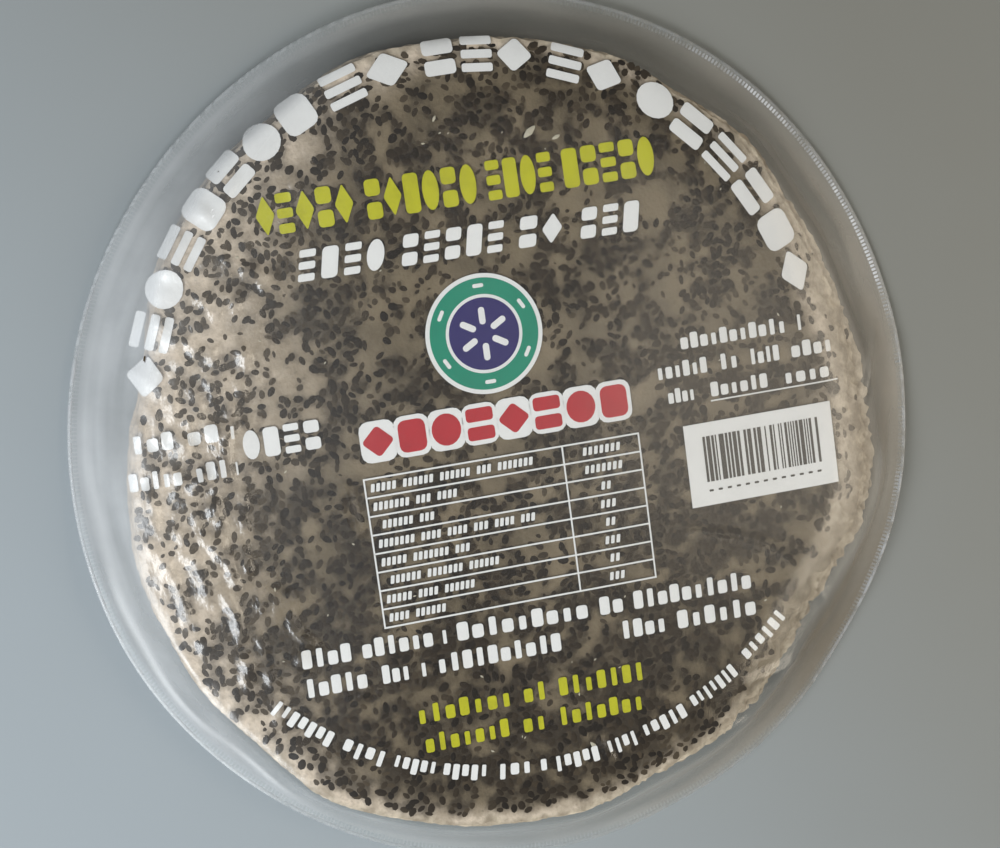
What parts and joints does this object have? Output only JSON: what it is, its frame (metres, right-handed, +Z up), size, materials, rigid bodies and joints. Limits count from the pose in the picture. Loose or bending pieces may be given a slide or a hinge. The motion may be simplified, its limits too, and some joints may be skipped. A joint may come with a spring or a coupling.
{
  "type": "sealed pouch of sesame rice papers",
  "caption": "Flat round clear film pouch, welded round its rim, packed with a stack of thin dried rice papers full of dark sesame seeds. It lies flat as a pantry or shop item.",
  "frame": {"origin": "middle of the pouch's footprint, on the surface it lies on", "axes": "+Z up through the printed film, +X to the right and +Y to the top of the print"},
  "size_m": [0.202, 0.202, 0.0125],
  "materials": {
    "packed_papers": "speckled rice paper under clear glossy film",
    "clear_film": "clear, glossy, faintly hazy and wrinkled",
    "rice_paper": "dry, translucent, matt, a little warped",
    "sesame_seed": "dark, slightly glossy seed coat",
    "seed_husk": "pale dry husk",
    "white_print": "opaque white ink under film",
    "yellow_print": "yellow-green ink under film",
    "green_print": "green ink under film",
    "navy_print": "dark blue ink under film",
    "red_print": "red ink under film",
    "black_print": "black ink over the white"
  },
  "bodies": {
    "root": {"sealed_pouch": "packed_papers"}
  },
  "joints": []
}
